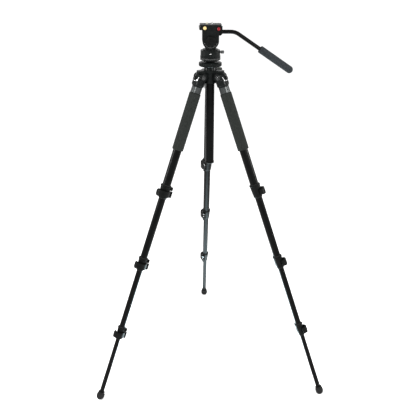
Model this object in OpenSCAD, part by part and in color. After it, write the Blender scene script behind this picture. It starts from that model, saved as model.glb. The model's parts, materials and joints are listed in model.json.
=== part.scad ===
// Four-section tripod with a small fluid head and one bent pan handle.
// Millimetres, +Z up. The floor is z = 0 and the origin is the middle of the footprint.
// The column stands at x = 0, y = column_y; the head faces -X and its handle points to +X.

/* [Stance] */
// Height of the leg hinge pins above the floor
hinge_height = 1130; // [1120:5:1140]
// Distance of each hinge pin from the column's axis
hinge_radius = 38; // [37.5:0.5:39]
// Angle of each leg from vertical
leg_spread = 21; // [20:0.5:22]

/* [Legs] */
// Wall of every tube
tube_wall = 1.5; // [1:0.25:2]
// Radial running clearance of parts that turn or slide in each other
running_gap = 0.05; // [0.02:0.01:0.08]
// Radius of the foam grip on the two front legs
foam_r = 19.25; // [18:0.25:20]
// Length of the foam grip
foam_length = 195; // [180:1:200]
// Radius of the ball under each rubber foot
foot_r = 14; // [12:0.5:15]

/* [Leg locks] */
// Length of each lock casting along the leg
lock_length = 46; // [45:0.5:48]
// Height of the lever band
lever_height = 21; // [20:0.5:21]
// Radius of the lever's thumb paddle
paddle_r = 14; // [13:0.5:15]
// Thickness of the lever band
lever_thickness = 4.5; // [3.5:0.5:5]

/* [Column] */
// Outer radius of the centre column
column_r = 14.5; // [14:0.25:14.75]
// Height of the column's lower end
column_bottom = 836; // [826:2:846]
// Outer radius of the column's twist lock
twist_r = 37.5; // [35:0.5:40]
// Ribs around the twist lock
twist_ribs = 24; // [18:1:30]

/* [Head] */
// Radius of the pan drum
drum_r = 32; // [30:0.5:33]
// Height of the tilt axis
tilt_height = 1244; // [1244:1:1246]
// Radius of the round lower end of the tilt cheeks
cheek_r = 26.4; // [25:0.1:26.5]
// Half length of the camera platform
platform_half = 36.5; // [36:0.5:38]

/* [Pan handle] */
// Radius of the handle tube
handle_r = 6.5; // [6:0.5:7]
// Bend of the handle
handle_bend = 33.5; // [30:0.5:38]
// Radius of the bend
bend_r = 49; // [40:1:60]
// Radius of the handle's grip
handle_grip_r = 12.3; // [11:0.1:13]
// Length of the handle's grip
handle_grip_length = 134; // [120:1:140]

/* [Hidden] */
$fn = 64;
legs = [1, 2, 3];
leg_azimuth = [210, 330, 90];
foam_legs = [1, 2];
stages = [1, 2, 3];

// Distances along a leg are measured downwards from its hinge pin.
foot_ball = (hinge_height - foot_r) / cos(leg_spread);
column_y = -(hinge_radius + foot_ball * sin(leg_spread)) / 4;
tube_r = [14.75, 12.5, 10.25, 8];
tube_top = [36.5, 345, 620, 884];
lock_top = [374, 642, 911];
lock_grip = 30;
tube_end = [for (j = [0:3]) j < 3 ? lock_top[j] + lock_grip : foot_ball - 6];
bush_length = 22;

// Hinge knuckle
lug_half = 10.8;
lug_r = 12;
fork_gap = 11.3;
fork_half = 21.8;
cheek_pin_r = 3.5;
knuckle_r = 21;
knuckle_end = 31;
neck_r = 17;
neck_end = 54;
button_at = 8.5;
button_r = 6.5;
button_seat = 13.6;
button_top = 22.6;

// Lever lock
pivot_angle = 150;
pivot_pin_r = 1.8;
pivot_barrel_r = 4.6;
ear = 4.6;
lever_start = 17.5;
lever_tip_angle = -36;
band_end_angle = 6;
paddle_angle = 9;
tension_at = 8.5;

// Shoulder and twist lock
arm_z = hinge_height + 13.5;
shoulder_top = hinge_height + 21;
shoulder_bottom = hinge_height - 22;
arm_half = 13;
neck_top = shoulder_top + 11;
twist_bottom = neck_top + 0.4;
twist_top = twist_bottom + 14;
column_top = twist_top + 1.6;
level_azimuth = 30;
level_radius = 33;

// Head, built upwards from the column's top plate
plate_z = column_top + 5;
base_top = plate_z + 12;
drum_z = base_top + 0.4;
drum_top = drum_z + 18.1;
ring_top = tilt_height - cheek_r - 0.4;
platform_z = tilt_height + 33.5;
rail_top = platform_z + 12.5;
plate_top = platform_z + 16.5;
cheek_in = 12;
cheek_out = 24;
post_half = 11.6;
platform_y = 27;
lock_cap = [-19, tilt_height + 40];
safety_cap = [24.5, tilt_height + 38];
screw_r = 3.175;
screw_neck_r = 2.6;
pin_r = 2.2;
pin_neck_r = 1.7;
screw_x = 4;
video_x = -12;
rosette = [30, 38, tilt_height + 20.8];
rosette_r = 10.5;
straight_x = 67.5;
grip_at = 84.5;

// ---- placing ----

// On the column's axis
module on_column() {
    translate([0, column_y, 0]) children();
}

// On leg n: x points outwards, y around the column, z back up the leg, origin on the hinge pin
module on_leg(n) {
    on_column() rotate([0, 0, leg_azimuth[n - 1]])
        translate([hinge_radius, 0, hinge_height]) rotate([0, -leg_spread, 0]) children();
}

// A cylinder around the leg's axis between two distances from the hinge pin
module along(from, to, r1, r2) {
    translate([0, 0, -to]) cylinder(r1 = r2, r2 = r1, h = to - from);
}

// A cylinder along +Y from one y to another
module across(from, to, r1, r2) {
    translate([0, from, 0]) rotate([-90, 0, 0]) cylinder(r1 = r1, r2 = r2, h = to - from);
}

// A ring of n children around Z
module around(n) {
    for (i = [0:n - 1]) rotate([0, 0, i * 360 / n]) children();
}

// ---- shoulder and column ----

module shoulder_arm() {
    translate([0, -arm_half, arm_z]) cube([37, 2 * arm_half, shoulder_top - arm_z]);
    translate([37, 0, arm_z]) cylinder(r = arm_half, h = shoulder_top - arm_z);
    translate([14, -lug_half, hinge_height - lug_r + 2]) cube([hinge_radius - 14, 2 * lug_half, lug_r + 12]);
    translate([hinge_radius, 0, hinge_height]) across(-lug_half, lug_half, lug_r, lug_r);
}

module level_housing() {
    translate([14, -8, shoulder_top - 6]) cube([level_radius - 14, 16, 6]);
    translate([level_radius, 0, shoulder_top - 6]) difference() {
        cylinder(r = 11.5, h = 7.5);
        translate([0, 0, 4.5]) cylinder(r = 8.6, h = 6);
    }
}

module shoulder() {
    color("#202322") on_column() difference() {
        union() {
            translate([0, 0, shoulder_bottom]) cylinder(r = 21, h = shoulder_top - shoulder_bottom);
            translate([0, 0, arm_z]) cylinder(r = 29, h = shoulder_top - arm_z);
            translate([0, 0, shoulder_top]) cylinder(r1 = 21, r2 = 19, h = neck_top - shoulder_top);
            translate([0, 0, neck_top]) cylinder(r = 16, h = 5);
            for (a = leg_azimuth) rotate([0, 0, a]) shoulder_arm();
            rotate([0, 0, level_azimuth]) level_housing();
        }
        translate([0, 0, shoulder_bottom - 1])
            cylinder(r = column_r + running_gap, h = neck_top - shoulder_bottom + 8);
        for (a = leg_azimuth) rotate([0, 0, a]) translate([hinge_radius, 0, hinge_height])
            across(-20, 20, cheek_pin_r + running_gap, cheek_pin_r + running_gap);
    }
}

// The three hinge bolts, each with a domed head and a nut
module pivot_bolts() {
    color("#c9ccce") on_column() for (a = leg_azimuth) rotate([0, 0, a])
        translate([hinge_radius, 0, hinge_height]) {
            across(-fork_half - 0.4, fork_half + 0.4, cheek_pin_r, cheek_pin_r);
            across(-fork_half - 3.4, -fork_half - 0.4, 4.2, 5.8);
            across(fork_half + 0.4, fork_half + 3.4, 5.8, 4.2);
        }
}

module column_lock_collar() {
    color("#1d201f") on_column() difference() {
        translate([0, 0, twist_bottom]) union() {
            cylinder(r1 = twist_r - 2, r2 = twist_r, h = 2);
            translate([0, 0, 2]) cylinder(r = twist_r, h = 9);
            translate([0, 0, 11]) cylinder(r1 = twist_r, r2 = twist_r - 6, h = 3);
        }
        around(twist_ribs) translate([twist_r + 1.6, 0, twist_bottom - 1]) cylinder(r = 3, h = 13, $fn = 24);
        translate([0, 0, twist_bottom - 1]) cylinder(r = column_r + running_gap, h = 30);
        translate([0, 0, twist_bottom - 1]) cylinder(r = 16.6, h = 6.6);
        translate([0, 0, twist_top - 2]) cylinder(r = 22, h = 4);
    }
}

module column_tube() {
    color("#111212") on_column() difference() {
        translate([0, 0, column_bottom]) cylinder(r = column_r, h = column_top - column_bottom);
        translate([0, 0, column_bottom - 1])
            cylinder(r = column_r - tube_wall, h = column_top - column_bottom + 2);
        rotate([0, 0, 30]) around(3) translate([column_r - 0.7, -1.5, column_bottom + 10])
            cube([2, 3, column_top - column_bottom - 40]);
    }
}

// Top plate with its spigot and the head's 3/8 inch stud
module column_plate() {
    color("#1b1d1c") on_column() {
        translate([0, 0, column_top]) cylinder(r = 19, h = plate_z - column_top);
        translate([0, 0, column_top - 14]) cylinder(r = column_r - tube_wall - running_gap, h = 14.5);
        translate([0, 0, plate_z - 0.5]) cylinder(r = 4.76, h = 9.5);
    }
}

module column_cap() {
    color("#0e0f0f") on_column() {
        translate([0, 0, column_bottom - 7]) cylinder(r1 = column_r - 1, r2 = column_r + 1.2, h = 2);
        translate([0, 0, column_bottom - 5]) cylinder(r = column_r + 1.2, h = 5);
        translate([0, 0, column_bottom]) cylinder(r = column_r - tube_wall - running_gap, h = 12);
    }
}

// ---- head ----

module head_base() {
    color("#242726") on_column() difference() {
        translate([0, 0, plate_z]) cylinder(r = drum_r + 1, h = base_top - plate_z);
        translate([0, 0, plate_z - 1]) cylinder(r = 4.76 + running_gap, h = 11.5);
        translate([0, 0, base_top - 3.5]) difference() {
            cylinder(r = drum_r + 3, h = 1);
            cylinder(r = drum_r - 0.5, h = 1);
        }
    }
}

module pan_drum() {
    translate([0, 0, drum_z]) cylinder(r = drum_r, h = drum_top - drum_z - 0.8);
    translate([0, 0, drum_top - 0.8]) cylinder(r1 = drum_r, r2 = drum_r - 0.8, h = 0.8);
    translate([0, 0, drum_top]) cylinder(r = 24.5, h = ring_top - drum_top);
}

// Drum, ring and the centre post that carries the tilt axle
module pan_body() {
    color("#232625") on_column() difference() {
        union() {
            pan_drum();
            translate([-17, -post_half, drum_top]) cube([34, 2 * post_half, tilt_height - drum_top]);
            translate([0, 0, tilt_height]) {
                across(-post_half, post_half, 23, 23);
                across(-17, 20, 8, 8);
            }
        }
        translate([drum_r - 7.5, 0, drum_z + 11]) rotate([0, 90, 0]) cylinder(r = 2.5 + running_gap, h = 20);
        translate([-0.8, -drum_r - 2, drum_z - 1]) cube([1.6, 3.2, 30]);
    }
}

module pan_lock_knob() {
    color("#151616") on_column() translate([0, 0, drum_z + 11]) rotate([0, 90, 0]) difference() {
        union() {
            translate([0, 0, drum_r - 7]) cylinder(r = 2.5, h = 10);
            translate([0, 0, drum_r + 1.2]) cylinder(r1 = 3.4, r2 = 5, h = 2.5);
            translate([0, 0, drum_r + 3.7]) cylinder(r = 5, h = 7.3);
            translate([0, 0, drum_r + 11]) cylinder(r1 = 5, r2 = 4, h = 1.2);
        }
        around(10) translate([5.6, 0, drum_r + 4]) cylinder(r = 1.1, h = 10, $fn = 16);
    }
}

// One cheek: round below the tilt axis and straight above it
module tilt_cheek(from, to) {
    translate([0, 0, tilt_height]) across(from, to, cheek_r, cheek_r);
    translate([-cheek_r, from, tilt_height]) cube([2 * cheek_r, to - from, platform_z - tilt_height + 1]);
}

module platform_block() {
    points = [
        [-platform_half, platform_z + 2], [-platform_half + 1.5, platform_z], [platform_half, platform_z],
        [platform_half, rail_top], [-platform_half + 5, rail_top], [-platform_half, rail_top - 5],
    ];
    translate([0, platform_y, 0]) rotate([90, 0, 0]) linear_extrude(2 * platform_y) polygon(points);
}

// The plate's dovetail, seen from behind; gap widens it into the channel it slides in
module dovetail(gap) {
    polygon([
        [-19.5 - gap, rail_top - 5 - gap], [19.5 + gap, rail_top - 5 - gap],
        [17.5 + gap, rail_top + 1], [-17.5 - gap, rail_top + 1],
    ]);
}

module along_x(from, to) {
    translate([from, 0, 0]) rotate([90, 0, 90]) linear_extrude(to - from) children();
}

module tilt_cradle() {
    color("#1f2221") on_column() difference() {
        union() {
            tilt_cheek(-cheek_out, -cheek_in);
            tilt_cheek(cheek_in, cheek_out);
            platform_block();
            translate([safety_cap[0], 0, safety_cap[1]]) across(-platform_y, -16, 6.5, 6.5);
            translate([8, 18, rosette[2] - 9]) cube([rosette[0] - 8, 12.9, 18]);
            translate([rosette[0], 0, rosette[2]]) across(18, 30.9, rosette_r - 0.5, rosette_r - 0.5);
        }
        along_x(-50, 50) dovetail(0.4);
        translate([0, 0, tilt_height]) {
            across(-17.6, 20.6, 8 + running_gap, 8 + running_gap);
            across(-30, -17, 4 + running_gap, 4 + running_gap);
        }
        translate([lock_cap[0], 0, lock_cap[1]]) across(-30, -21.5, 3 + running_gap, 3 + running_gap);
        translate([safety_cap[0], 0, safety_cap[1]]) across(-30, -20.5, 4.4, 4.4);
        translate([rosette[0], 0, rosette[2]]) across(20, 40, 3 + running_gap, 3 + running_gap);
    }
}

// Knob on the near end of the tilt axle
module tilt_lock_knob() {
    color("#1a1c1c") on_column() translate([0, 0, tilt_height]) difference() {
        union() {
            across(-30, -17.9, 4, 4);
            across(-27.5, -24.4, 16, 18);
            across(-33, -27.5, 15, 16);
            across(-34.2, -33, 13, 15);
        }
        rotate([90, 0, 0]) around(16) translate([17.4, 0, 24]) cylinder(r = 2.2, h = 12, $fn = 20);
        across(-36, -32.6, 8, 8);
    }
}

module quick_plate() {
    color("#191b1a") on_column() difference() {
        union() {
            along_x(-34, 34) intersection() {
                dovetail(0);
                translate([-25, rail_top - 5]) square([50, 5.5]);
            }
            translate([-34, -22, rail_top + 0.4]) cube([68, 44, plate_top - rail_top - 0.4]);
        }
        for (x = [-27, -20, 16, 27]) translate([x - 1, -19, plate_top - 0.8]) cube([2, 38, 2]);
        translate([screw_x, 0, rail_top - 6]) {
            cylinder(r = screw_neck_r + running_gap, h = 20);
            cylinder(r = 7.5, h = 4.2);
        }
        translate([screw_x, 0, plate_top - 1.2]) cylinder(r = screw_r + 0.4, h = 2);
        translate([video_x, 0, rail_top - 6]) {
            cylinder(r = pin_neck_r + running_gap, h = 20);
            cylinder(r = 4, h = 5);
        }
        translate([video_x, 0, plate_top - 2.9]) cylinder(r = pin_r + 0.4, h = 4);
    }
}

// 1/4 inch camera screw with a slotted head under the plate
module camera_screw() {
    color("#8d8f90") on_column() translate([screw_x, 0, 0]) difference() {
        union() {
            translate([0, 0, rail_top - 4.6]) cylinder(r = 7, h = 2);
            translate([0, 0, rail_top - 3]) cylinder(r = screw_neck_r, h = plate_top - rail_top + 3.4);
            translate([0, 0, plate_top + 0.3]) cylinder(r = screw_r, h = 5);
            translate([0, 0, plate_top + 5.3]) cylinder(r1 = screw_r, r2 = screw_r - 0.7, h = 0.7);
        }
        translate([-8, -0.6, rail_top - 5]) cube([16, 1.2, 1.4]);
    }
}

module video_pin() {
    color("#d8d4c4") on_column() translate([video_x, 0, 0]) {
        translate([0, 0, rail_top - 2.5]) cylinder(r = 3.6, h = 1.2);
        translate([0, 0, rail_top - 1.8]) cylinder(r = pin_neck_r, h = plate_top - rail_top + 2.2);
        translate([0, 0, plate_top + 0.3]) cylinder(r = pin_r, h = 4.1);
        translate([0, 0, plate_top + 4.4]) cylinder(r1 = pin_r, r2 = pin_r - 0.7, h = 0.8);
    }
}

module plate_lock_knob() {
    color("#e9dfb8") on_column() translate([lock_cap[0], 0, lock_cap[1]]) {
        across(-platform_y - 0.8, -22, 3, 3);
        across(-platform_y - 4, -platform_y - 0.5, 5.2, 5.2);
        across(-platform_y - 5.2, -platform_y - 4, 4, 5.2);
    }
}

module plate_safety_button() {
    color("#b3303a") on_column() translate([safety_cap[0], 0, safety_cap[1]]) {
        across(-platform_y - 3.6, -24, 4, 4);
        across(-platform_y - 6, -platform_y - 3.4, 4.8, 4.8);
        across(-platform_y - 7, -platform_y - 6, 3.8, 4.8);
    }
}

// ---- pan handle ----

// Where the bend ends, as x and z on the handle's centre line
bend_end = [straight_x + bend_r * sin(handle_bend), rosette[2] - bend_r * (1 - cos(handle_bend))];

// At the end of the bend, with z along the straight end of the handle
module after_bend() {
    translate([bend_end[0], rosette[1], bend_end[1]]) rotate([0, 90 + handle_bend, 0]) children();
}

// Centre line of the handle: x, z and the angle it points down by
function handle_line() = [
    [rosette[0] + 4, rosette[2], 0],
    for (a = [0:handle_bend / 10:handle_bend + 0.01])
        [straight_x + bend_r * sin(a), rosette[2] - bend_r * (1 - cos(a)), a],
    let (reach = grip_at + handle_grip_length - 20)
        [bend_end[0] + reach * cos(handle_bend), bend_end[1] - reach * sin(handle_bend), handle_bend],
];

// A round tube along a line in the XZ plane
module swept_bar(line, r, sides) {
    rings = len(line);
    points = [
        for (p = line) for (i = [0:sides - 1])
            let (t = 360 * i / sides)
            [p[0] + r * cos(t) * sin(p[2]), r * sin(t), p[1] + r * cos(t) * cos(p[2])]
    ];
    walls = [
        for (k = [0:rings - 2]) for (i = [0:sides - 1])
            let (a = k * sides + i, b = k * sides + (i + 1) % sides)
            [a, b, b + sides, a + sides]
    ];
    first = [for (i = [sides - 1:-1:0]) i];
    last = [for (i = [0:sides - 1]) (rings - 1) * sides + i];
    polyhedron(points, concat(walls, [first, last]), convexity = 4);
}

module handle_tube() {
    color("#141515") on_column() difference() {
        union() {
            translate([rosette[0], 0, rosette[2]]) {
                across(31.2, 32.2, rosette_r - 1, rosette_r);
                across(32.2, 43.8, rosette_r, rosette_r);
                across(43.8, 44.8, rosette_r, rosette_r - 1);
            }
            translate([0, rosette[1], 0]) swept_bar(handle_line(), handle_r, 32);
        }
        translate([rosette[0], 0, rosette[2]]) across(30, 46, 3 + running_gap, 3 + running_gap);
    }
}

// Rubber grip: a short collar, fine rings and a round tip
module handle_grip() {
    body = handle_grip_length - handle_grip_r;
    color("#3b3f3f") on_column() after_bend() translate([0, 0, grip_at]) difference() {
        union() {
            cylinder(r1 = handle_grip_r - 2.2, r2 = handle_grip_r, h = 2.5);
            translate([0, 0, 2.5]) cylinder(r = handle_grip_r, h = body - 2.5);
            translate([0, 0, body]) sphere(r = handle_grip_r);
        }
        translate([0, 0, -1]) cylinder(r = handle_r + running_gap, h = handle_grip_length - 18);
        translate([0, 0, 5]) difference() {
            cylinder(r = handle_grip_r + 1, h = 1.2);
            cylinder(r = handle_grip_r - 0.8, h = 1.2);
        }
    }
}

module handle_clamp_knob() {
    color("#171818") on_column() translate([rosette[0], 0, rosette[2]]) difference() {
        union() {
            across(21, 46, 3, 3);
            across(45.2, 48, 7, 10);
            across(48, 57, 10, 10);
            across(57, 58.5, 10, 8.5);
        }
        rotate([-90, 0, 0]) around(12) translate([10.6, 0, 47]) cylinder(r = 1.6, h = 14, $fn = 16);
    }
}

// ---- legs ----

module leg_hinge(n) {
    color("#202423") on_leg(n) difference() {
        union() {
            along(-8, -6, 14.5, 16.5);
            along(-6, 2, 16.5, 18.5);
            along(2, 12, 18.5, knuckle_r);
            along(12, knuckle_end - 4, knuckle_r, knuckle_r);
            along(knuckle_end - 4, knuckle_end, knuckle_r, 18.5);
            for (s = [-1, 1]) translate([0, s * (fork_gap + fork_half) / 2, 0])
                across(-(fork_half - fork_gap) / 2, (fork_half - fork_gap) / 2, 12.5, 12.5);
            along(knuckle_end - 1, neck_end, neck_r, neck_r);
        }
        across(-fork_gap, fork_gap, 12.6, 12.6);
        translate([-40, -fork_gap, -11.8]) cube([40, 2 * fork_gap, 60]);
        translate([-40, -fork_gap, 2]) cube([53.2, 2 * fork_gap, 60]);
        translate([-15 - 20, -40, -34]) cube([20, 80, 90]);
        across(-30, 30, cheek_pin_r + running_gap, cheek_pin_r + running_gap);
        translate([button_seat, 0, -button_at]) rotate([0, 90, 0]) cylinder(r = button_r + 0.4, h = 20);
        along(tube_top[0] - 0.1, neck_end + 1, tube_r[0] + running_gap, tube_r[0] + running_gap);
    }
}

// Push button that frees the leg's angle stop
module leg_angle_button(n) {
    color("#0f1010") on_leg(n) translate([0, 0, -button_at]) rotate([0, 90, 0]) {
        translate([0, 0, button_seat + 3.3]) cylinder(r = button_r, h = button_top - button_seat - 4.3);
        translate([0, 0, button_top - 1]) cylinder(r1 = button_r, r2 = button_r - 1.2, h = 1);
    }
}

// Tube j of a leg; all but the first have a guide bush at the top
module leg_tube(n, j) {
    r = tube_r[j - 1];
    top = tube_top[j - 1];
    end = tube_end[j - 1];
    bush_r = j == 1 ? r : tube_r[j - 2] - tube_wall - running_gap;
    color("#101111") on_leg(n) difference() {
        union() {
            along(top, end, r, r);
            if (j > 1) along(top, top + bush_length, bush_r, bush_r);
        }
        along(top - 1, end + 1, r - tube_wall, r - tube_wall);
    }
}

module leg_grip(n) {
    color("#333634") on_leg(n) difference() {
        union() {
            along(neck_end + 0.6, neck_end + 2.6, foam_r - 1.5, foam_r);
            along(neck_end + 2.6, neck_end + foam_length - 2, foam_r, foam_r);
            along(neck_end + foam_length - 2, neck_end + foam_length, foam_r, foam_r - 1.5);
        }
        along(neck_end - 1, neck_end + foam_length + 1, tube_r[0] + running_gap, tube_r[0] + running_gap);
    }
}

function clamp_r(j) = tube_r[j - 1] + 3.2;
function pivot_r(j) = clamp_r(j) + 5.2;

// On lock j of a leg, at the lock's top edge
module on_lock(n, j) {
    on_leg(n) translate([0, 0, -lock_top[j - 1]]) children();
}

// At the lever's pivot pin on lock j
module at_pivot(j) {
    rotate([0, 0, pivot_angle]) translate([pivot_r(j), 0, 0]) children();
}

// Ear that holds one end of the lever's pin
module lock_ear(j, from, to) {
    at_pivot(j) {
        along(from, to, pivot_barrel_r, pivot_barrel_r);
        translate([tube_r[j] + 1 - pivot_r(j), -pivot_barrel_r, -to])
            cube([pivot_r(j) - tube_r[j] - 1, 2 * pivot_barrel_r, to - from]);
    }
}

// Radial cylinder on lock j, at a distance below its top edge and an angle around it
module boss(at, angle, from, to, r1, r2) {
    rotate([0, 0, angle]) translate([0, 0, -at]) rotate([0, 90, 0])
        translate([0, 0, from]) cylinder(r1 = r1, r2 = r2, h = to - from);
}

module leg_lock(n, j) {
    r = clamp_r(j);
    foot = tube_r[j] + 2.2;
    lever_end = lever_start + lever_height;
    color("#1a1c1b") on_lock(n, j) difference() {
        union() {
            along(0, 1.5, r, r + 1);
            along(1.5, 5, r + 1, r + 1);
            along(5, 6, r + 1, r);
            along(6, lever_start - 2, r, r - 0.6);
            along(lever_start - 2, lever_end + 4, r - 0.6, foot + 0.6);
            along(lever_end + 4, lock_length, foot + 0.6, foot - 0.8);
            lock_ear(j, lever_start, lever_start + ear);
            lock_ear(j, lever_end - ear, lever_end);
            at_pivot(j) along(lever_start + 1, lever_end - 1, pivot_pin_r, pivot_pin_r);
            boss(tension_at, pivot_angle, r - 3, r + 5.5, 6.8, 6.8);
            boss(tension_at, pivot_angle, r + 5.5, r + 7.5, 6.8, 5.2);
        }
        along(-1, lock_grip, tube_r[j - 1] + running_gap, tube_r[j - 1] + running_gap);
        along(lock_grip - 1, lock_length + 1, tube_r[j] + running_gap, tube_r[j] + running_gap);
        boss(tension_at, pivot_angle, r + 5, r + 12, 2.8, 2.8, $fn = 6);
    }
}

// The lever is a bow around the clamp: close to it at both ends and proud of it under the thumb
function bow(a) = 4.4 + 7.2 * pow(max(0, cos((a - 22) * 0.94)), 1.3);
function lever_outline(j, first, last) = [
    for (a = [first:-6:last]) (clamp_r(j) + max(0.8, bow(a) - lever_thickness)) * [cos(a), sin(a)],
    for (a = [last:6:first]) (clamp_r(j) + bow(a)) * [cos(a), sin(a)],
];

module leg_lever(n, j) {
    inner = lever_start + ear + 0.5;
    outer = lever_start + lever_height - ear - 0.5;
    color("#121313") on_lock(n, j) difference() {
        union() {
            translate([0, 0, -lever_start - lever_height]) linear_extrude(lever_height)
                polygon(lever_outline(j, 126, band_end_angle));
            translate([0, 0, -outer]) linear_extrude(outer - inner)
                polygon(lever_outline(j, 144, band_end_angle));
            intersection() {
                translate([0, 0, -lock_length]) linear_extrude(lock_length)
                    polygon(lever_outline(j, 84, lever_tip_angle));
                boss(lever_start + lever_height / 2, paddle_angle,
                    clamp_r(j) - 2, clamp_r(j) + 13, paddle_r + 3, paddle_r - 3.5);
            }
            at_pivot(j) along(inner, outer, pivot_barrel_r, pivot_barrel_r);
        }
        at_pivot(j) along(0, lock_length, pivot_pin_r + running_gap, pivot_pin_r + running_gap);
    }
}

module leg_foot(n) {
    color("#0c0d0d") on_leg(n) difference() {
        union() {
            along(foot_ball - 18, foot_ball - 14, 11.6, 11.6);
            along(foot_ball - 14, foot_ball - 12, 10.4, 10.4);
            along(foot_ball - 12, foot_ball - 8, 11.6, foot_r);
            along(foot_ball - 8, foot_ball, foot_r, foot_r);
            translate([0, 0, -foot_ball]) sphere(r = foot_r);
        }
        along(foot_ball - 40, foot_ball - 5.8, tube_r[3] + running_gap, tube_r[3] + running_gap);
    }
}

// ---- the assembly ----

shoulder();
pivot_bolts();
column_lock_collar();
column_tube();
column_plate();
column_cap();
head_base();
pan_body();
pan_lock_knob();
tilt_cradle();
tilt_lock_knob();
quick_plate();
camera_screw();
plate_lock_knob();
plate_safety_button();
video_pin();
handle_clamp_knob();
handle_tube();
handle_grip();
for (n = legs) {
    leg_hinge(n);
    leg_angle_button(n);
    leg_foot(n);
    for (j = [1:4])
        leg_tube(n, j);
    for (j = stages) {
        leg_lock(n, j);
        leg_lever(n, j);
    }
}
for (n = foam_legs)
    leg_grip(n);
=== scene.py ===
"""Looks of the tripod with a small fluid head: materials, fittings, light and camera."""

import json
import math

import bmesh
import bpy
from mathutils import Matrix, Vector


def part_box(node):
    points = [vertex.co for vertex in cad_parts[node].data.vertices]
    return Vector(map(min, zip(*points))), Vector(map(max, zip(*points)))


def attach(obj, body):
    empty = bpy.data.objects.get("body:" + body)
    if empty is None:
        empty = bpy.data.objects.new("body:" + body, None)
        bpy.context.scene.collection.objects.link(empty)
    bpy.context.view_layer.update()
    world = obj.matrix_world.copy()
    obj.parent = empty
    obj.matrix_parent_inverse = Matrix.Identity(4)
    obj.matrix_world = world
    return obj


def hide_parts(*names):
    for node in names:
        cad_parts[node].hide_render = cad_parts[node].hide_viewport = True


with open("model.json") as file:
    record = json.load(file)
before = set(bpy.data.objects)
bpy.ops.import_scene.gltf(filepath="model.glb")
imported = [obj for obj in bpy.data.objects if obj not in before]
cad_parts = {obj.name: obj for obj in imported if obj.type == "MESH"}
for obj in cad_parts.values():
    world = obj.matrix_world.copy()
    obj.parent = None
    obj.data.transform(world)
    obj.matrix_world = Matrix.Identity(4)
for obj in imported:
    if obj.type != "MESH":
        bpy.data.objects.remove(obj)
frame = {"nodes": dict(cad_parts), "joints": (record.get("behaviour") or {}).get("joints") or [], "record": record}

MM = 0.001
LEGS = (1, 2, 3)
STAGES = (1, 2, 3)
NODES = frame["nodes"]
JOINTS = {joint["name"]: joint for joint in frame["joints"]}
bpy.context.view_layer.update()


# ---- places taken from the frame ----

def frame_matrix(origin, x_axis, z_axis):
    """A matrix whose x and z follow the two axes, at origin."""
    z = Vector(z_axis).normalized()
    x = Vector(x_axis)
    x = (x - z * x.dot(z)).normalized()
    rotation = Matrix((x, z.cross(x), z)).transposed().to_4x4()
    return Matrix.Translation(Vector(origin)) @ rotation


def leg_frame(n):
    """On leg n: x outwards, y around the column, z back up the leg, origin on the hinge pin."""
    up = Vector(JOINTS[f"leg_{n}_slide_1"]["axis"])
    around = Vector(JOINTS[f"leg_{n}_fold"]["axis"])
    return frame_matrix(JOINTS[f"leg_{n}_fold"]["pos_m"], around.cross(up), up)


def along_leg(n, node):
    """Distances of a node's two ends from the hinge pin, down leg n, in metres."""
    inverse = leg_frame(n).inverted()
    drops = [-(inverse @ v.co).z for v in NODES[node].data.vertices]
    return min(drops), max(drops)


def middle(node):
    low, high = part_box(node)
    return (low + high) / 2


def slanted_frame(node, slope):
    """On a round bar that points to +X and down by slope degrees: z along it, from its top end."""
    along = Vector((math.cos(math.radians(slope)), 0, -math.sin(math.radians(slope))))
    above = Vector((-along.z, 0, along.x))
    points = [v.co for v in NODES[node].data.vertices]
    high = [p.dot(above) for p in points]
    centre = above * (max(high) + min(high)) / 2 + along * min(p.dot(along) for p in points)
    centre.y = middle(node).y
    return frame_matrix(centre, above, along), max(p.dot(along) for p in points) - centre.dot(along)


COLUMN = Vector(JOINTS["tilt"]["pos_m"])
COLUMN.z = 0
LEG = {n: leg_frame(n) for n in LEGS}

# the part's own sizes, in millimetres and degrees
TUBE_R = (14.75, 12.5, 10.25, 8.0)
CLAMP_R = tuple(r + 3.2 for r in TUBE_R)
LOCK_LENGTH = 46.0
LEVER_START = 17.5
LEVER_END = 38.5
LEVER_MIDDLE = (LEVER_START + LEVER_END) / 2
PIVOT_ANGLE = 150
PIVOT_STANDOFF = 5.2
BOLT_DROP = 8.5
BOLT_STANDOFF = 5.1
CHEEK_FACE = 21.75
BOLT_FACE = 24.9
BUTTON_FACE = 22.6
SLEEVE_R = 19.1
SLEEVE_BORE_R = 14.8
SLEEVE_END = 1.6
FOOT_R = 14
FOOT_GROOVES = (6, 7, 12, 13, 18, 19)
HANDLE_SLOPE = 33.5
HANDLE_R = 12.25
HANDLE_BORE_R = 6.56
HANDLE_DOME = 12.3
DRUM_R = 33
DRUM_SCREW_Y = -31.8
CHEEK_SCALE_Y = -24.05
TILT_CAP_Y = -32.9


# ---- node materials ----

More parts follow.
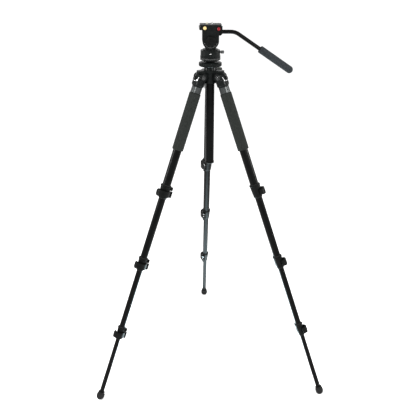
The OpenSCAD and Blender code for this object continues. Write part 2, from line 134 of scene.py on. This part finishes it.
class Surface:
    """A procedural material: constants on the shader's sockets, patterns through nodes."""

    def __init__(self, name, roughness, metallic=0.0, coat=0.0, specular=0.5):
        self.material = bpy.data.materials.new(name)
        self.material.use_nodes = True
        self.tree = self.material.node_tree
        self.shader = self.tree.nodes["Principled BSDF"]
        self.shader.inputs["Roughness"].default_value = roughness
        self.shader.inputs["Metallic"].default_value = metallic
        self.shader.inputs["Coat Weight"].default_value = coat
        self.shader.inputs["Coat Roughness"].default_value = 0.15
        self.shader.inputs["Specular IOR Level"].default_value = specular
        self.tint = None

    def node(self, kind, **inputs):
        made = self.tree.nodes.new("ShaderNode" + kind)
        for key, value in inputs.items():
            if hasattr(made, key):
                setattr(made, key, value)
            else:
                self.feed(value, made.inputs[key.replace("_", " ").title()])
        return made

    def feed(self, value, socket):
        if isinstance(value, bpy.types.NodeSocket):
            self.tree.links.new(value, socket)
        else:
            socket.default_value = value

    def noise(self, scale, detail=2.0, stretch=(1, 1, 1)):
        """Noise over object coordinates in metres: a piece's own, so the pattern moves with it."""
        place = self.node("TexCoord").outputs["Object"]
        mapping = self.node("Mapping", Vector=place, Scale=stretch).outputs["Vector"]
        return self.node("TexNoise", Vector=mapping, Scale=scale, Detail=detail).outputs["Fac"]

    def cells(self, scale):
        place = self.node("TexCoord").outputs["Object"]
        return self.node("TexVoronoi", Vector=place, Scale=scale).outputs["Distance"]

    def range(self, value, from_low, from_high, low, high):
        made = self.node("MapRange", Value=value, From_Min=from_low, From_Max=from_high,
                         To_Min=low, To_Max=high)
        return made.outputs["Result"]

    def colour(self, value, dark, light, low=0.3, high=0.7):
        ramp = self.node("ValToRGB", Fac=value)
        for element, at, colour in zip(ramp.color_ramp.elements, (low, high), (dark, light)):
            element.position = at
            element.color = (*colour, 1.0)
        self.tint = ramp.outputs["Color"]
        self.tree.links.new(self.tint, self.shader.inputs["Base Color"])
        return self

    def wear_and_highlight(self, colour, amount=0.6, radius_mm=0.5):
        """Lighter paint along hard edges, broken up by noise: worn edges, and on the blackened steel also a
        painted highlight.
        """
        soft = self.node("Bevel", samples=4, Radius=radius_mm * MM).outputs["Normal"]
        flat = self.node("NewGeometry").outputs["Normal"]
        turn = self.node("VectorMath", operation="DOT_PRODUCT")
        self.tree.links.new(soft, turn.inputs[0])
        self.tree.links.new(flat, turn.inputs[1])
        edge = self.range(turn.outputs["Value"], 0.8, 0.99, amount, 0.0)
        patches = self.range(self.noise(400, 4), 0.42, 0.62, 0.0, 1.0)
        share = self.node("Math", operation="MULTIPLY")
        self.tree.links.new(edge, share.inputs[0])
        self.tree.links.new(patches, share.inputs[1])
        mix = self.node("MixRGB", Fac=share.outputs["Value"], Color1=self.tint,
                        Color2=(*colour, 1.0))
        self.tree.links.new(mix.outputs["Color"], self.shader.inputs["Base Color"])
        return self

    def gloss(self, value, low, high):
        self.feed(self.range(value, 0.3, 0.7, low, high), self.shader.inputs["Roughness"])
        return self

    def bump(self, value, depth_mm, strength=1.0, soften_mm=0.35):
        """Bump over a softened edge, so that a hard corner catches light as a worn one does."""
        soft = self.node("Bevel", samples=4, Radius=soften_mm * MM).outputs["Normal"]
        made = self.node("Bump", Strength=strength, Distance=depth_mm * MM, Height=value,
                         Normal=soft)
        self.tree.links.new(made.outputs["Normal"], self.shader.inputs["Normal"])
        return self


def grey(level, green=1.0, blue=1.0):
    return (level, level * green, level * blue)


def anodised():
    """Satin black tube: drawn fine along its length, a little uneven in gloss."""
    s = Surface("black_anodised", 0.26, specular=0.05)
    drawn = s.noise(900, 2, (1, 1, 0.03))
    s.colour(s.noise(30, 3), grey(0.0012, 1.02, 1.02), grey(0.0024, 1.05, 1.04))
    s.gloss(drawn, 0.2, 0.32)
    return s.bump(drawn, 0.02, 0.25).material


def enamel():
    """Black enamel on castings: a faint orange peel, a greenish tint painted into its colour as soft reflections,
    rubbed edges.
    """
    s = Surface("black_enamel", 0.3, specular=0.07)
    # the greenish tint of both colours is a painted reflection; the mottling between them is the enamel's own
    s.colour(s.noise(60, 4), grey(0.0022, 1.2, 1.16), grey(0.0044, 1.22, 1.18))
    s.wear_and_highlight(grey(0.035, 1.05, 1.03))
    s.gloss(s.noise(140, 3), 0.2, 0.36)
    return s.bump(s.noise(700, 2), 0.06, 0.35).material


def satin_neck():
    """Bare satin alloy of the socket under each knuckle."""
    s = Surface("satin_alloy", 0.34, metallic=0.7, specular=0.3)
    s.colour(s.noise(900, 2, (1, 1, 0.03)), grey(0.025, 1.08, 1.07), grey(0.045, 1.08, 1.07))
    s.gloss(s.noise(300, 3), 0.24, 0.36)
    return s.bump(s.noise(1400, 2), 0.02, 0.3).material


def moulded():
    """Moulded black plastic with a fine spark-eroded grain and a little wear."""
    s = Surface("moulded_plastic", 0.36, specular=0.045)
    grain = s.noise(2600, 3)
    s.colour(s.noise(80, 3), grey(0.002, 1.05, 1.02), grey(0.004, 1.08, 1.03))
    s.wear_and_highlight(grey(0.02, 1.04, 1.0), 0.5)
    s.gloss(grain, 0.28, 0.42)
    return s.bump(grain, 0.05, 0.5).material


def soft_plastic():
    """Greyer plastic of the small knobs."""
    s = Surface("knob_plastic", 0.42, specular=0.4)
    grain = s.noise(2200, 3)
    s.colour(s.noise(90, 3), grey(0.018, 1.04, 1.05), grey(0.03, 1.04, 1.06))
    return s.bump(grain, 0.05, 0.5).material


def foam():
    """Open-cell foam sleeve: pores over a slightly mottled dark grey."""
    s = Surface("grip_foam", 0.9, specular=0.05)
    s.shader.inputs["Sheen Weight"].default_value = 0.02
    s.colour(s.noise(260, 6), grey(0.0075, 1.12, 1.02), grey(0.015, 1.12, 1.02))
    return s.bump(s.cells(1500), 0.25, 0.8).material


def handle_rubber():
    """Blue-grey foam rubber of the pan handle's grip."""
    s = Surface("handle_rubber", 0.75, specular=0.08)
    s.shader.inputs["Sheen Weight"].default_value = 0.02
    s.colour(s.noise(220, 5), grey(0.0085, 1.18, 1.32), grey(0.017, 1.18, 1.32))
    return s.bump(s.cells(1700), 0.15, 0.6).material


def foot_rubber():
    s = Surface("foot_rubber", 0.6, specular=0.12)
    s.colour(s.noise(90, 5), grey(0.003), grey(0.008, 1.0, 0.98))
    s.gloss(s.noise(200, 3), 0.5, 0.7)
    return s.bump(s.noise(1500, 3), 0.08, 0.5).material


def steel():
    """Polished steel with fine turning marks."""
    s = Surface("polished_steel", 0.2, metallic=1.0)
    s.colour(s.noise(300, 3), grey(0.42), grey(0.62, 1.0, 1.01))
    return s.bump(s.noise(1800, 2), 0.02, 0.3).material


def black_steel():
    """Blackened steel of the hinge bolts, with lighter rubbed edges that are partly wear and partly a painted
    highlight.
    """
    s = Surface("blackened_steel", 0.24, metallic=0.9)
    s.colour(s.noise(300, 3), grey(0.02), grey(0.06, 1.02, 1.02))
    # light edges: real wear, and on the bolt heads a painted highlight
    s.wear_and_highlight(grey(0.35), 0.9, 0.7)
    return s.bump(s.noise(1500, 2), 0.03, 0.4).material


def cream():
    s = Surface("cream_plastic", 0.3, coat=0.15, specular=0.25)
    s.colour(s.noise(250, 4), (0.36, 0.25, 0.09), (0.46, 0.36, 0.17))
    return s.bump(s.noise(1200, 2), 0.02, 0.25).material


def pale_metal():
    s = Surface("pale_metal", 0.25, metallic=0.8)
    s.colour(s.noise(400, 3), (0.6, 0.56, 0.44), (0.8, 0.76, 0.64))
    return s.bump(s.noise(1500, 2), 0.02, 0.25).material


def red_gloss():
    s = Surface("red_gloss", 0.3, coat=0.05, specular=0.15)
    s.colour(s.noise(200, 3), (0.11, 0.004, 0.007), (0.17, 0.007, 0.012))
    return s.bump(s.noise(900, 2), 0.02, 0.2).material


def plate_finish():
    """Hard black coat of the sliding plate, rubbed along its edges."""
    s = Surface("plate_coat", 0.4, specular=0.12)
    s.colour(s.noise(90, 5), grey(0.005, 1.04, 1.02), grey(0.011, 1.04, 1.02))
    s.wear_and_highlight(grey(0.08), 0.7)
    return s.bump(s.noise(1500, 3), 0.05, 0.5).material


def strip_rubber():
    s = Surface("strip_rubber", 0.7, specular=0.15)
    s.colour(s.noise(500, 4), grey(0.006), grey(0.013))
    return s.bump(s.noise(2500, 3), 0.06, 0.6).material


def vial_glass():
    s = Surface("vial_glass", 0.06, coat=0.3, specular=0.3)
    s.colour(s.noise(60, 2), (0.22, 0.27, 0.19), (0.32, 0.38, 0.28))
    return s.bump(s.noise(300, 2), 0.01, 0.1).material


def tick_paint():
    s = Surface("scale_paint", 0.5, specular=0.2)
    s.colour(s.noise(900, 3), grey(0.16), grey(0.3))
    return s.bump(s.noise(2000, 2), 0.01, 0.3).material


def floor_paint():
    s = Surface("floor_paint", 0.7, specular=0.1)
    s.colour(s.noise(1.2, 3), grey(0.92), grey(0.95))
    return s.material


TUBE, ENAMEL, NECK, PLASTIC, KNOB = anodised(), enamel(), satin_neck(), moulded(), soft_plastic()
FOAM, GRIP, RUBBER, STRIP = foam(), handle_rubber(), foot_rubber(), strip_rubber()
STEEL, BLACK_STEEL, CREAM, PALE = steel(), black_steel(), cream(), pale_metal()
RED, PLATE, VIAL, TICKS = red_gloss(), plate_finish(), vial_glass(), tick_paint()
BY_SLOT = {
    "black_tube": TUBE, "casting": ENAMEL, "plastic": PLASTIC, "foam": FOAM, "grip_rubber": GRIP,
    "foot_rubber": RUBBER, "steel": STEEL, "brass": PALE, "red_plastic": RED, "plate_metal": PLATE,
}
BY_NODE = {"pivot_bolts": BLACK_STEEL, "plate_lock_knob": CREAM, "pan_lock_knob": KNOB}


def dress_nodes():
    """Every CAD node gets its slot's material, or its own where it differs."""
    slots = {part["node"]: part["material_slot"] for part in frame["record"]["subparts"]}
    for name, node in NODES.items():
        node.data.materials.clear()
        node.data.materials.append(BY_NODE.get(name, BY_SLOT[slots[name]]))


# ---- building pieces: shapes are in millimetres around their own origin ----

def add_piece(name, build, body, material, place=Matrix(), sharp=35):
    """A closed mesh made by build(bm), put in place and riding on a body."""
    bm = bmesh.new()
    build(bm)
    bmesh.ops.scale(bm, vec=(MM, MM, MM), verts=bm.verts)
    bmesh.ops.recalc_face_normals(bm, faces=bm.faces)
    mesh = bpy.data.meshes.new(name)
    bm.to_mesh(mesh)
    bm.free()
    mesh.shade_smooth()
    mesh.set_sharp_from_angle(angle=math.radians(sharp))
    mesh.materials.append(material)
    piece = bpy.data.objects.new(name, mesh)
    piece.matrix_world = place
    bpy.context.scene.collection.objects.link(piece)
    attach(piece, body)
    return piece


def turned(profile, segments=48):
    """A solid of revolution about z from (radius, z) points: a ring unless it starts at r = 0."""
    def build(bm):
        rings = []
        for r, z in profile:
            count = segments if r else 1
            angles = [2 * math.pi * i / segments for i in range(count)]
            rings.append([bm.verts.new((r * math.cos(a), r * math.sin(a), z)) for a in angles])
        follow = rings[1:] + (rings[:1] if profile[0][0] else [])
        for low, high in zip(rings, follow):
            for i in range(segments):
                k = (i + 1) % segments
                corners = [low[i % len(low)], low[k % len(low)],
                           high[k % len(high)], high[i % len(high)]]
                bm.faces.new(list(dict.fromkeys(corners)))
    return build


def bars(boxes, bevel=0.2):
    """Rounded bars from (centre, size, turn about z in degrees)."""
    def build(bm):
        for centre, size, turn in boxes:
            place = Matrix.Rotation(math.radians(turn), 4, "Z") @ Matrix.Translation(centre)
            made = bmesh.ops.create_cube(bm, size=1.0, matrix=place @ Matrix.Diagonal((*size, 1)))
            edges = dict.fromkeys(edge for vert in made["verts"] for edge in vert.link_edges)
            bmesh.ops.bevel(bm, geom=list(edges), offset=bevel, segments=2, profile=0.5,
                            affect="EDGES")
    return build


def several(*builds):
    def build(bm):
        for part in builds:
            part(bm)
    return build


def moved(part, place):
    """The same shape in another place, in millimetres."""
    def build(bm):
        before = set(bm.verts)
        part(bm)
        bmesh.ops.transform(bm, matrix=place, verts=[v for v in bm.verts if v not in before])
    return build


def socket_head(radius, height, hole):
    """A screw head with a chamfered rim and a hexagonal socket."""
    def build(bm):
        turned([(0, 0), (radius, 0), (radius, height * 0.7), (radius * 0.86, height)], 32)(bm)
        corners = [math.pi / 3 * i for i in range(6)]
        top, low = [[bm.verts.new((hole * math.cos(a), hole * math.sin(a), z)) for a in corners]
                    for z in (height, height * 0.4)]
        open_edges = [e for e in bm.edges if len(e.link_faces) == 1]
        hexagon = [bm.edges.new((top[i], top[(i + 1) % 6])) for i in range(6)]
        bmesh.ops.bridge_loops(bm, edges=open_edges + hexagon)
        for i in range(6):
            bm.faces.new((top[i], top[(i + 1) % 6], low[(i + 1) % 6], low[i]))
        bm.faces.new(low)
    return build


def at(x, y, z):
    return Matrix.Translation((x * MM, y * MM, z * MM))


def facing(axis, degrees):
    return Matrix.Rotation(math.radians(degrees), 4, axis)


def around_leg(n, distance, angle=0, radius=0, outwards=False):
    """On leg n at a distance below the pin; outwards turns z from up the leg to away from it."""
    place = LEG[n] @ at(0, 0, -distance) @ facing("Z", angle) @ at(radius, 0, 0)
    return place @ facing("Y", 90) if outwards else place


# ---- legs ----

def knuckle_radius(d):
    """Outer radius of the hinge knuckle at a distance below the pin."""
    steps = [(-6, 16.5), (2, 18.5), (12, 21), (27, 21), (31, 18.5)]
    for (d0, r0), (d1, r1) in zip(steps, steps[1:]):
        if d <= d1:
            return r0 + (r1 - r0) * (d - d0) / (d1 - d0)
    return steps[-1][1]


def skin_strip(path, width, lift=0.55, sink=0.3):
    """A strip that follows the knuckle: path is (y, distance) points, lying on its surface."""
    def on_skin(y, d, height):
        return (math.sqrt((knuckle_radius(d) + height) ** 2 - y * y), y, -d)

    def build(bm):
        rows = []
        for k, (y, d) in enumerate(path):
            y0, d0 = path[max(k - 1, 0)]
            y1, d1 = path[min(k + 1, len(path) - 1)]
            length = math.hypot(y1 - y0, d1 - d0)
            side = ((d1 - d0) / length * width / 2, -(y1 - y0) / length * width / 2)
            rows.append([bm.verts.new(on_skin(y + s * side[0], d + s * side[1], h))
                         for s, h in ((-1, -sink), (-1, lift * 0.6), (-0.7, lift), (0.7, lift),
                                      (1, lift * 0.6), (1, -sink))])
        for low, high in zip(rows, rows[1:]):
            for i in range(6):
                bm.faces.new((low[i], low[(i + 1) % 6], high[(i + 1) % 6], high[i]))
        bm.faces.new(rows[0])
        bm.faces.new(rows[-1])
    return build


def add_knuckle(n):
    """Bright frame round the angle button, ribs on it, washers under the bolt heads, bare neck."""
    upper = f"leg_{n}_upper"
    side, top, bottom, corner = 13.2, 2.0, 15.5, 2.0
    left = [(-side, top + k * (bottom - corner - top) / 6) for k in range(7)]
    turn = [(-side + corner * (1 - math.cos(a)), bottom - corner + corner * math.sin(a))
            for a in (math.radians(30), math.radians(60))]
    floor = [(-side + corner + k * (2 * side - 2 * corner) / 12, bottom) for k in range(13)]
    half = left + turn
    path = half + floor + [(-y, d) for y, d in reversed(half)]
    add_piece(f"leg_{n}_button_frame", skin_strip(path, 1.7), upper, STEEL, LEG[n])
    low, high = along_leg(n, f"leg_{n}_angle_button")
    middle_d = (low + high) / 2 / MM
    ribs = bars([((BUTTON_FACE, y, -middle_d), (0.7, 1.0, 7.5), 0) for y in (-2.6, 0, 2.6)], 0.3)
    add_piece(f"leg_{n}_button_ribs", ribs, f"leg_{n}_angle_button", KNOB, LEG[n])
    washer = turned([(5.9, 0.05), (7.6, 0.05), (7.6, 0.25), (7.3, 0.42), (5.9, 0.42)], 40)
    socket = socket_head(2.9, 0.8, 1.7)
    parts = []
    for sign in (-1, 1):
        outwards = facing("X", -90 * sign)
        parts.append(moved(washer, Matrix.Translation((0, sign * CHEEK_FACE, 0)) @ outwards))
        parts.append(moved(socket, Matrix.Translation((0, sign * BOLT_FACE, 0)) @ outwards))
    add_piece(f"leg_{n}_bolt_trim", several(*parts), "shoulder", BLACK_STEEL, LEG[n])
    neck = turned([(17.05, -34), (17.05, -53.4), (17.5, -53.0), (17.5, -50.6),
                   (17.2, -50.2), (17.2, -35.6), (17.5, -35.2), (17.5, -34.4)], 64)
    add_piece(f"leg_{n}_neck", neck, upper, NECK, LEG[n])


def add_sleeve(n):
    """Foam sleeve over the first tube, a little fuller in the middle, with rolled ends."""
    low, high = (d / MM for d in along_leg(n, f"leg_{n}_grip"))
    steps = 26
    outer = []
    for k in range(steps + 1):
        d = low + SLEEVE_END + (high - low - 2 * SLEEVE_END) * k / steps
        swell = 0.1 * math.sin(math.pi * k / steps) + 0.05 * math.sin(2.1 * k)
        outer.append((SLEEVE_R + swell, -d))
    upper_end = [(SLEEVE_BORE_R, -low), (18.2, -low), (18.8, -low - 0.6)]
    lower_end = [(18.8, -high + 0.6), (18.2, -high), (SLEEVE_BORE_R, -high)]
    profile = upper_end + outer + lower_end
    sleeve = add_piece(f"leg_{n}_sleeve", turned(profile, 64), f"leg_{n}_upper", FOAM,
                       LEG[n], sharp=60)
    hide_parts(f"leg_{n}_grip")


def add_foot(n):
    """Rubber foot: grooved neck, rounded shoulder and a ball with three tread grooves."""
    ball = []
    for step in range(31):
        below = math.radians(3 * step)
        r = FOOT_R - (0.55 if step in FOOT_GROOVES else 0)
        ball.append((r * math.cos(below), -r * math.sin(below)))
    ball[-1] = (0, -FOOT_R)
    neck = [(0, 5.8), (8.1, 5.8), (8.1, 18), (11.1, 18), (11.6, 17.5), (11.6, 14.6), (11.1, 14.1),
            (10.4, 13.8), (10.4, 12.2)]
    shoulder = [(11.0, 11.8), (12.6, 10.2), (13.6, 8.8), (FOOT_R, 7.4), (FOOT_R, 5.4),
                (13.5, 5.0), (13.5, 4.2), (FOOT_R, 3.8)]
    profile = neck + shoulder + ball
    high = along_leg(n, f"leg_{n}_foot")[1]
    foot = add_piece(f"leg_{n}_rubber_foot", turned(profile, 56), f"leg_{n}_end", RUBBER,
                     around_leg(n, high / MM - FOOT_R))
    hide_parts(f"leg_{n}_foot")


def bow(angle):
    """How far the lever's outer face stands off the clamp."""
    return 4.4 + 7.2 * max(0.0, math.cos(math.radians((angle - 22) * 0.94))) ** 1.3


def add_lock(n, j):
    """Tension bolt, lever pin ends, wiper lips and the thumb ribs of one lock."""
    body = f"leg_{n}_" + ("upper", "middle", "lower")[j - 1]
    name = f"leg_{n}_lock_{j}"
    top = along_leg(n, name)[0] / MM
    radius = CLAMP_R[j - 1]
    bolt = around_leg(n, top + BOLT_DROP, PIVOT_ANGLE, radius + BOLT_STANDOFF, outwards=True)
    add_piece(name + "_bolt", socket_head(2.7, 1.9, 1.4), body, STEEL, bolt)
    dome = turned([(0, 0), (2.3, 0), (2.3, 0.3), (1.7, 0.8), (0.8, 1.05), (0, 1.1)], 24)
    ends = several(moved(dome, Matrix.Translation((0, 0, -LEVER_START + 0.02))),
                   moved(dome, Matrix.Translation((0, 0, -LEVER_END - 0.02)) @ facing("X", 180)))
    add_piece(name + "_pin", ends, body, STEEL,
              around_leg(n, top, PIVOT_ANGLE, radius + PIVOT_STANDOFF))
    lips = []
    for tube, z, up in ((TUBE_R[j - 1], 0.0, 1), (TUBE_R[j], -LOCK_LENGTH, -1)):
        lip = [(tube + 0.12, z), (tube + 1.9, z), (tube + 1.9, z + 0.5 * up),
               (tube + 1.3, z + 1.2 * up), (tube + 0.5, z + 1.4 * up), (tube + 0.12, z + 1.2 * up)]
        lips.append(turned(lip, 48))
    add_piece(name + "_lips", several(*lips), body, STRIP, around_leg(n, top))
    ribs = [((radius + bow(a) - 0.15, 0, -LEVER_MIDDLE), (0.9, 1.1, 13 - abs(a - 9) * 0.5), a)
            for a in (-3, 3, 9, 15, 21)]
    add_piece(f"leg_{n}_lever_{j}_ribs", bars(ribs, 0.35), f"leg_{n}_lever_{j}", PLASTIC,
              around_leg(n, top))


def add_legs():
    """All three legs; only legs 1 and 2 have a foam sleeve."""
    for n in LEGS:
        add_knuckle(n)
        add_foot(n)
        for j in STAGES:
            add_lock(n, j)
    for n in (1, 2):
        add_sleeve(n)


# ---- shoulder and head ----

def on_column(x, y, z):
    """A place on the column's own axes, millimetres above the floor."""
    return Matrix.Translation(COLUMN) @ at(x, y, z)


def add_level():
    """Round bubble level: a rimmed housing ring, a pale domed vial with a circle, and its bubble."""
    angle, radius = math.radians(30), 33
    top = JOINTS["leg_1_fold"]["pos_m"][2] / MM + 21
    place = on_column(radius * math.cos(angle), radius * math.sin(angle), top)
    vial = turned([(0, -1.4), (8.2, -1.4), (8.2, 0.6), (7.6, 1.2),
                   (5.2, 1.75), (2.4, 2.0), (0, 2.05)], 48)
    add_piece("level_vial", vial, "shoulder", VIAL, place)
    ring = turned([(3.1, 1.85), (3.7, 1.8), (3.7, 2.15), (3.1, 2.2)], 40)
    add_piece("level_circle", ring, "shoulder", STRIP, place)
    bubble = turned([(0, 1.9), (2.2, 1.9), (2.2, 2.1), (1.6, 2.35), (0, 2.5)], 32)
    add_piece("level_bubble", bubble, "shoulder", TICKS, place @ at(0.7, 0.4, 0))
    rim = turned([(8.5, 1.3), (11.2, 1.3), (11.2, 1.8),
                  (10.6, 2.3), (9.1, 2.3), (8.5, 1.8)], 48)
    add_piece("level_rim", rim, "shoulder", PLASTIC, place)


def add_drum_fittings():
    """Seam screw, and the fine scales of the pan base and the tilt cheek."""
    base_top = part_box("head_base")[1].z / MM
    slot_cut = bars([((0, 0, 1.45), (3.0, 0.6, 0.5), 0)], 0.1)
    head = turned([(0, 0), (2.1, 0), (2.1, 1.0), (1.7, 1.4), (0, 1.5)], 32)
    front = facing("X", 90)
    seam = on_column(0, DRUM_SCREW_Y, base_top + 10) @ front
    add_piece("drum_screw", head, "pan", STEEL, seam)
    add_piece("drum_screw_slot", slot_cut, "pan", BLACK_STEEL, seam @ facing("Z", 35))
    ticks = []
    for k in range(72):
        drop, length = (0.6, 1.8) if k % 2 else (0, 3.0)
        ticks.append(((DRUM_R + 0.02, 0, base_top - 7.5 - drop), (0.3, 0.4, length), 5 * k))
    add_piece("pan_scale", bars(ticks, 0.06), "column", TICKS, on_column(0, 0, 0))
    ticks = [((20.6, 0, 0), (2.2 if k % 2 else 3.0, 0.4, 0.3), 180 + 10 * k)
             for k in range(-7, 8)]
    tilt = JOINTS["tilt"]["pos_m"][2] / MM
    add_piece("tilt_scale", bars(ticks, 0.06), "tilt", TICKS,
              on_column(0, CHEEK_SCALE_Y, tilt) @ front @ facing("Z", 90))
    cap = turned([(0, -0.3), (7.7, -0.3), (7.7, 0.3), (7.2, 0.8), (5.4, 1.0), (5.2, 0.75),
                  (4.6, 0.75), (4.4, 1.05), (0, 1.3)], 48)
    add_piece("tilt_knob_cap", cap, "tilt_lock", PLASTIC,
              on_column(0, TILT_CAP_Y, tilt) @ front)


def add_platform_fittings():
    """Dark bezels round the two front buttons and rubber strips on the plate."""
    front = facing("X", 90)
    bezel = turned([(5.7, 0.02), (8.1, 0.02), (8.1, 0.5), (7.6, 0.9), (6.2, 0.9), (5.7, 0.5)], 44)
    for node in ("plate_lock_knob", "plate_safety_button"):
        spot = middle(node)
        place = Matrix.Translation((spot.x, COLUMN.y - 27 * MM, spot.z)) @ front
        add_piece(node + "_bezel", bezel, "tilt", PLASTIC, place)
    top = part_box("quick_plate")[1].z / MM
    strips = bars([((x, 0, top - 0.42), (1.84, 37.6, 0.74), 0) for x in (-27, -20, 16, 27)], 0.2)
    add_piece("plate_strips", strips, "plate", STRIP, on_column(0, 0, 0))


def add_handle_grip():
    """Foam-rubber grip: a stepped collar, grooves near it, a plain body and a rounded end."""
    place, length = slanted_frame("handle_grip", HANDLE_SLOPE)
    length /= MM
    r = HANDLE_R
    bore_end = length - 18.1
    start = 9.5
    bore = [(0, bore_end), (HANDLE_BORE_R, bore_end), (HANDLE_BORE_R, 0)]
    collar = [(10.2, 0), (11.6, 0.7), (r, 2.4), (r, 4.9), (r - 0.7, 5.3), (r - 0.7, 6.0),
              (r, 6.4), (r, 7.4), (r - 0.4, 7.7), (r - 0.4, 8.2), (r, 8.6)]
    body = [(r, start + (length - HANDLE_DOME - start) * k / 20) for k in range(21)]
    dome = []
    for k in range(1, 15):
        a = math.radians(6 * k)
        dome.append((r * math.cos(a), length - HANDLE_DOME + HANDLE_DOME * math.sin(a)))
    profile = bore + collar + body + dome + [(0, length)]
    grip = add_piece("pan_handle_grip", turned(profile, 56), "handle", GRIP, place,
                     sharp=60)
    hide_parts("handle_grip")


add_legs()
dress_nodes()
add_level()
add_drum_fittings()
add_platform_fittings()
add_handle_grip()


# ---- stage, light and camera ----

def build_stage():
    """A plain pale floor."""
    bpy.ops.mesh.primitive_plane_add(size=24, location=(0, 0, -0.0002))
    floor = bpy.context.object
    floor.name = "floor"
    floor.data.materials.append(floor_paint())


def add_area(name, place, target, size, power):
    light = bpy.data.objects.new(name, bpy.data.lights.new(name, "AREA"))
    light.data.energy = power
    light.data.size = size
    light.location = place
    light.rotation_euler = (Vector(target) - Vector(place)).to_track_quat("-Z", "Y").to_euler()
    bpy.context.scene.collection.objects.link(light)
    return light


def build_light():
    """White surroundings, four soft area lights, and a weak cool bounce off the floor."""
    world = bpy.data.worlds.new("studio")
    world.use_nodes = True
    world.node_tree.nodes["Background"].inputs["Color"].default_value = (1, 1, 1, 1)
    world.node_tree.nodes["Background"].inputs["Strength"].default_value = 1.12
    bpy.context.scene.world = world
    add_area("key", (-1.3, -2.4, 2.4), (0, 0, 1.0), 0.7, 90)
    add_area("fill", (1.6, -2.2, 1.9), (0, 0, 1.0), 0.5, 50)
    add_area("left_strip", (-2.6, -0.5, 1.4), (0, 0, 1.1), 0.6, 45)
    add_area("right_strip", (2.6, -0.3, 1.4), (0, 0, 1.1), 0.6, 45)
    bounce = add_area("floor_bounce", (0, 0.02, 0.02), (0, 0.02, 1.0), 0.6, 14)
    bounce.data.color = (0.72, 0.93, 1.0)
    bounce.visible_camera = False
    bpy.context.scene.view_settings.view_transform = "Standard"


CAMERA_HEIGHT = 1.522
CAMERA_DISTANCE = 1.958
CAMERA_SIDE = 0.0029
CAMERA_PITCH = 24.05
CAMERA_ROLL = 0.453
TRIPOD_TURN = 2.71
LENS_MM = 50.92
SENSOR_MM = 36.0


def build_camera():
    """From above head height in front, a little turned, pitched down onto the column."""
    camera = bpy.data.objects.new("camera", bpy.data.cameras.new("camera"))
    camera.data.lens = LENS_MM
    camera.data.sensor_width = SENSOR_MM
    turn = Matrix.Rotation(math.radians(-TRIPOD_TURN), 4, "Z")
    stand = Matrix.Translation((CAMERA_SIDE, -CAMERA_DISTANCE, CAMERA_HEIGHT))
    pitch = Matrix.Rotation(math.radians(90 - CAMERA_PITCH), 4, "X")
    roll = Matrix.Rotation(math.radians(CAMERA_ROLL), 4, "Z")
    camera.matrix_world = Matrix.Translation(COLUMN) @ turn @ stand @ pitch @ roll
    bpy.context.scene.collection.objects.link(camera)
    bpy.context.scene.camera = camera


build_stage()
build_light()
build_camera()
